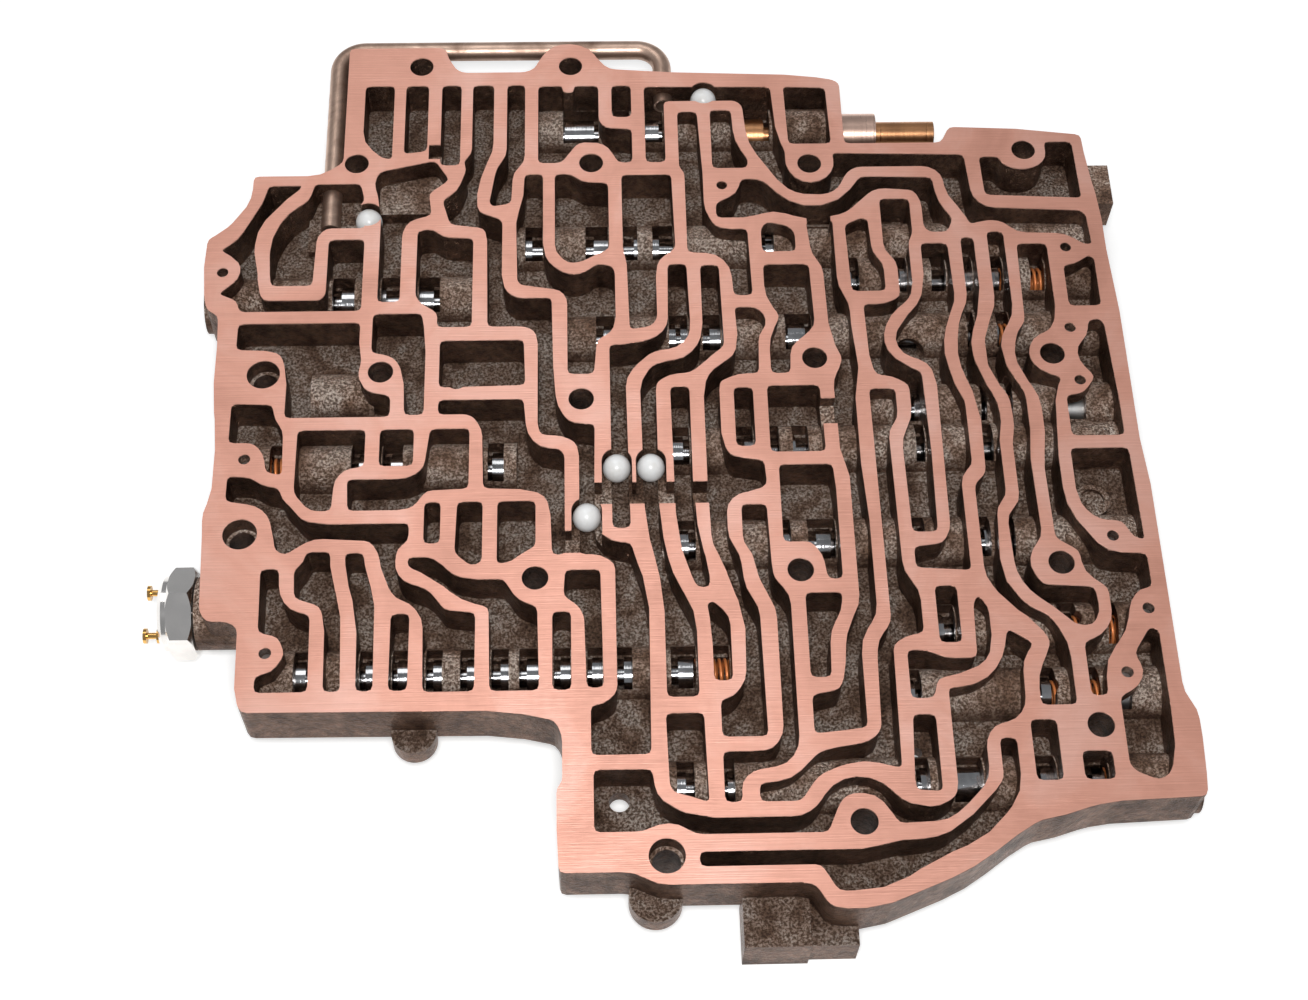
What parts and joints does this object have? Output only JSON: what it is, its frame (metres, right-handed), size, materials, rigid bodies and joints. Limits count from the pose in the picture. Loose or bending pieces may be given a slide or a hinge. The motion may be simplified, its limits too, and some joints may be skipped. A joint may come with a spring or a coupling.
{
  "type": "transmission valve body",
  "caption": "Cast automatic transmission valve body with worm-track oil channels, spring-loaded spool valves in cross bores, check balls and an oil tube.",
  "frame": {"origin": "a point on the machined gasket face near the middle of the casting, on the rib between two channels", "axes": "+Z out of the gasket face, +X along the valve bores to the right, +Y away from the viewer of the picture"},
  "size_m": [0.2808, 0.2921, 0.0262],
  "materials": {
    "cast_metal": "die cast, stained by oil, gasket face machined",
    "ball": "smooth white",
    "tube_steel": "drawn tube",
    "plated": "plated",
    "spring_wire": "copper-coloured wire",
    "brass_like": "turned",
    "plug_metal": "turned",
    "valve_metal": "ground"
  },
  "bodies": {
    "valve_body": {"casting": "cast_metal", "check_balls": "ball", "retaining_pins": "plug_metal", "oil_tube": "tube_steel", "switch_body": "plated", "switch_cap": "plated", "throttle_spring": "spring_wire", "plunger_sleeve": "brass_like", "boost_spring": "spring_wire", "boost_plug": "plug_metal", "shift_spring_a": "spring_wire", "shift_plug_a": "plug_metal", "limit_spring": "spring_wire", "limit_plug": "plug_metal", "shift_spring_b": "spring_wire", "shift_plug_b": "plug_metal", "shift_spring_c": "spring_wire", "shift_plug_c": "plug_metal", "regulator_spring": "spring_wire", "regulator_plug": "plug_metal", "modulator_spring": "spring_wire", "modulator_plug": "plug_metal", "detent_spring": "spring_wire", "detent_plug": "plug_metal", "relay_spring": "spring_wire", "relay_plug": "plug_metal", "coast_spring": "spring_wire", "coast_plug": "plug_metal", "signal_spring": "spring_wire", "signal_plug": "plug_metal", "accumulator_spring": "spring_wire", "accumulator_plug": "plug_metal"},
    "throttle_valve": {"throttle_valve": "valve_metal"},
    "boost_valve": {"boost_valve": "valve_metal"},
    "shift_valve_a": {"shift_valve_a": "valve_metal"},
    "limit_valve": {"limit_valve": "valve_metal"},
    "shift_valve_b": {"shift_valve_b": "valve_metal"},
    "shift_valve_c": {"shift_valve_c": "valve_metal"},
    "regulator_valve": {"regulator_valve": "valve_metal"},
    "modulator_valve": {"modulator_valve": "valve_metal"},
    "detent_valve": {"detent_valve": "valve_metal"},
    "relay_valve": {"relay_valve": "valve_metal"},
    "coast_valve": {"coast_valve": "valve_metal"},
    "signal_valve": {"signal_valve": "valve_metal"},
    "accumulator_valve": {"accumulator_valve": "valve_metal"},
    "throttle_plunger": {"throttle_plunger": "brass_like"}
  },
  "joints": [
    {"name": "throttle_valve_slide", "type": "slide", "parent": "valve_body", "child": "throttle_valve", "axis": [1, 0, 0], "range_m": [0, 0.003], "stiffness_N_per_m": 600, "deforming": ["throttle_spring"]},
    {"name": "boost_valve_slide", "type": "slide", "parent": "valve_body", "child": "boost_valve", "axis": [-1, 0, 0], "range_m": [0, 0.003], "stiffness_N_per_m": 600, "deforming": ["boost_spring"]},
    {"name": "shift_valve_a_slide", "type": "slide", "parent": "valve_body", "child": "shift_valve_a", "axis": [1, 0, 0], "range_m": [0, 0.003], "stiffness_N_per_m": 600, "deforming": ["shift_spring_a"]},
    {"name": "limit_valve_slide", "type": "slide", "parent": "valve_body", "child": "limit_valve", "axis": [1, 0, 0], "range_m": [0, 0.003], "stiffness_N_per_m": 600, "deforming": ["limit_spring"]},
    {"name": "shift_valve_b_slide", "type": "slide", "parent": "valve_body", "child": "shift_valve_b", "axis": [1, 0, 0], "range_m": [0, 0.003], "stiffness_N_per_m": 600, "deforming": ["shift_spring_b"]},
    {"name": "shift_valve_c_slide", "type": "slide", "parent": "valve_body", "child": "shift_valve_c", "axis": [1, 0, 0], "range_m": [0, 0.003], "stiffness_N_per_m": 600, "deforming": ["shift_spring_c"]},
    {"name": "regulator_valve_slide", "type": "slide", "parent": "valve_body", "child": "regulator_valve", "axis": [-1, 0, 0], "range_m": [0, 0.003], "stiffness_N_per_m": 600, "deforming": ["regulator_spring"]},
    {"name": "modulator_valve_slide", "type": "slide", "parent": "valve_body", "child": "modulator_valve", "axis": [1, 0, 0], "range_m": [0, 0.003], "stiffness_N_per_m": 600, "deforming": ["modulator_spring"]},
    {"name": "detent_valve_slide", "type": "slide", "parent": "valve_body", "child": "detent_valve", "axis": [1, 0, 0], "range_m": [0, 0.003], "stiffness_N_per_m": 600, "deforming": ["detent_spring"]},
    {"name": "relay_valve_slide", "type": "slide", "parent": "valve_body", "child": "relay_valve", "axis": [1, 0, 0], "range_m": [0, 0.003], "stiffness_N_per_m": 600, "deforming": ["relay_spring"]},
    {"name": "coast_valve_slide", "type": "slide", "parent": "valve_body", "child": "coast_valve", "axis": [1, 0, 0], "range_m": [0, 0.003], "stiffness_N_per_m": 600, "deforming": ["coast_spring"]},
    {"name": "signal_valve_slide", "type": "slide", "parent": "valve_body", "child": "signal_valve", "axis": [1, 0, 0], "range_m": [0, 0.003], "stiffness_N_per_m": 600, "deforming": ["signal_spring"]},
    {"name": "accumulator_valve_slide", "type": "slide", "parent": "valve_body", "child": "accumulator_valve", "axis": [1, 0, 0], "range_m": [0, 0.003], "stiffness_N_per_m": 600, "deforming": ["accumulator_spring"]},
    {"name": "throttle_plunger_slide", "type": "slide", "parent": "valve_body", "child": "throttle_plunger", "axis": [-1, 0, 0], "range_m": [0, 0.005], "stiffness_N_per_m": 600}
  ]
}
